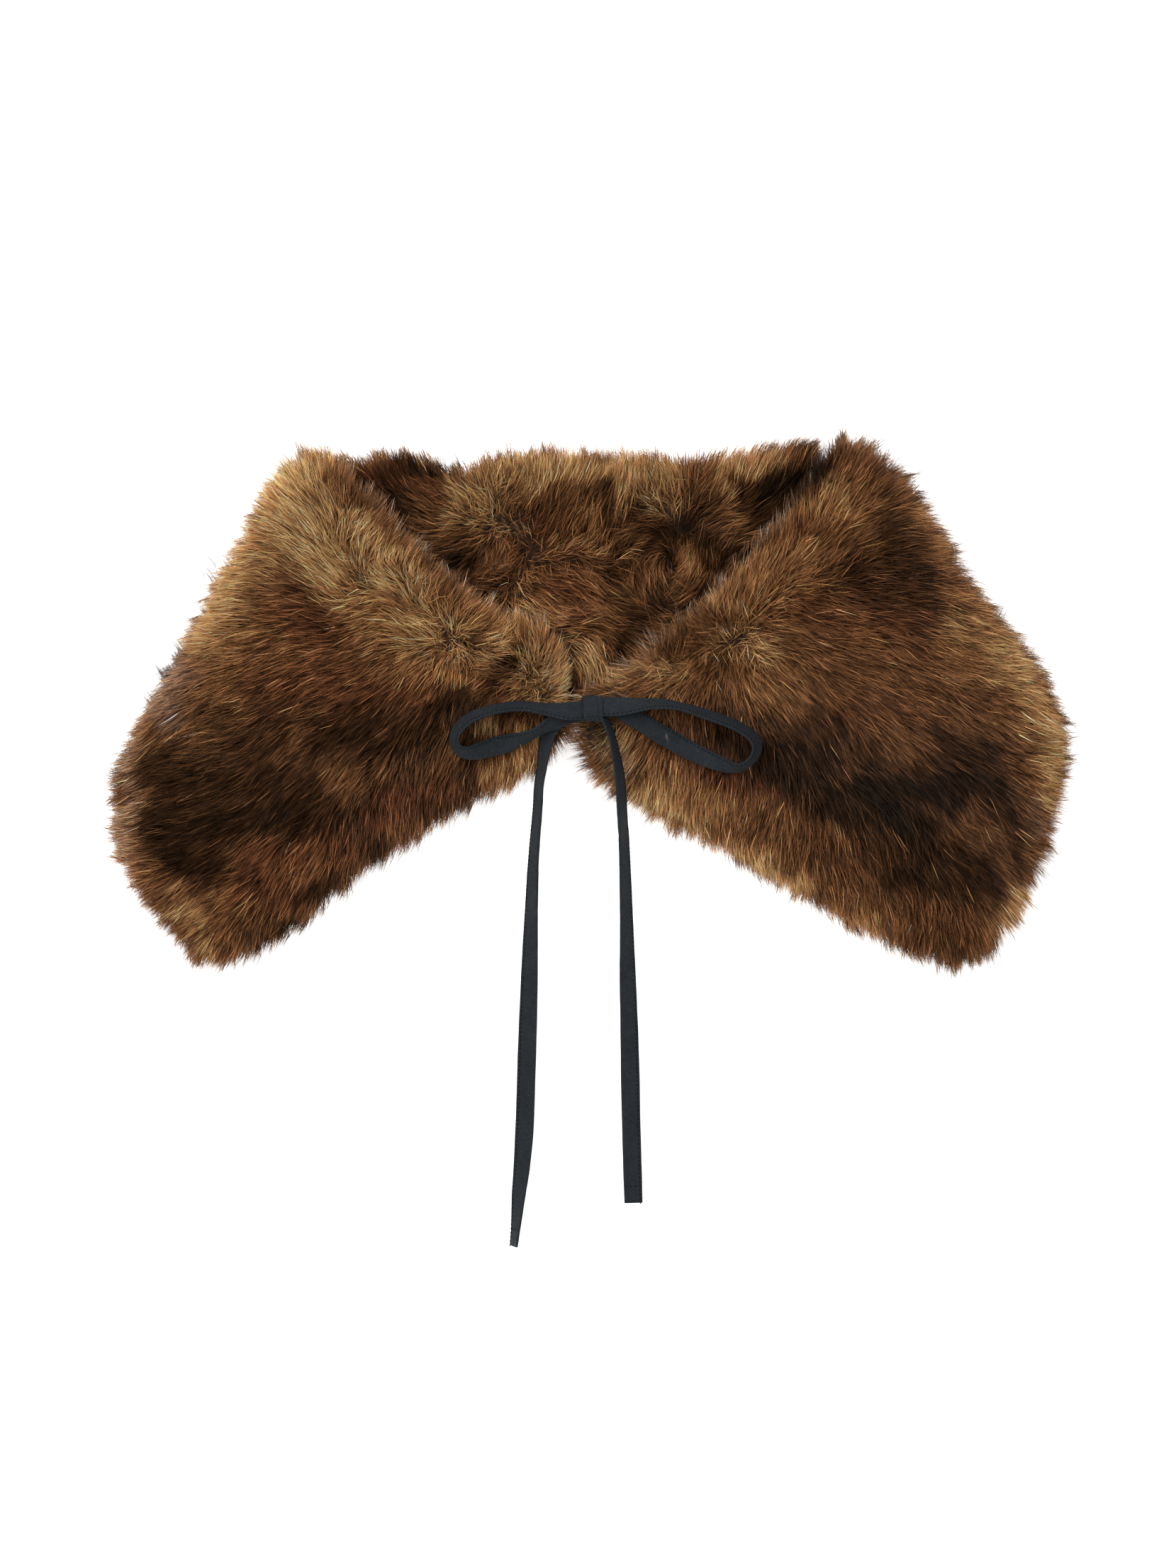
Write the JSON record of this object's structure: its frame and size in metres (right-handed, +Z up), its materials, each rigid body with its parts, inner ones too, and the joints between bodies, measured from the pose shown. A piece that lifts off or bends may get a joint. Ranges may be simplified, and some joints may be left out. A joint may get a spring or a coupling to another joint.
{
  "type": "fur collar wrap",
  "caption": "Short shoulder wrap with brown fur on both faces, laid flat with its fronts folded over the back and flat dark cotton ties in a bow.",
  "frame": {"origin": "on the surface that the wrap lies on, under the middle of the fur's outline", "axes": "+X towards the right front, +Y towards the neck edge of the back, +Z up off the surface"},
  "size_m": [0.5427, 0.4606, 0.0586],
  "materials": {
    "brown_fur": "soft dense fur, golden to dark brown",
    "dark_cotton": "matte woven cotton, topstitched"
  },
  "bodies": {
    "root": {"back_band": "brown_fur", "front_left": "brown_fur", "front_right": "brown_fur", "tie_knot": "dark_cotton", "tie_loop_left": "dark_cotton", "tie_loop_right": "dark_cotton", "tie_root_left": "dark_cotton", "tie_root_right": "dark_cotton", "tie_tail_left": "dark_cotton", "tie_tail_right": "dark_cotton"}
  },
  "joints": []
}
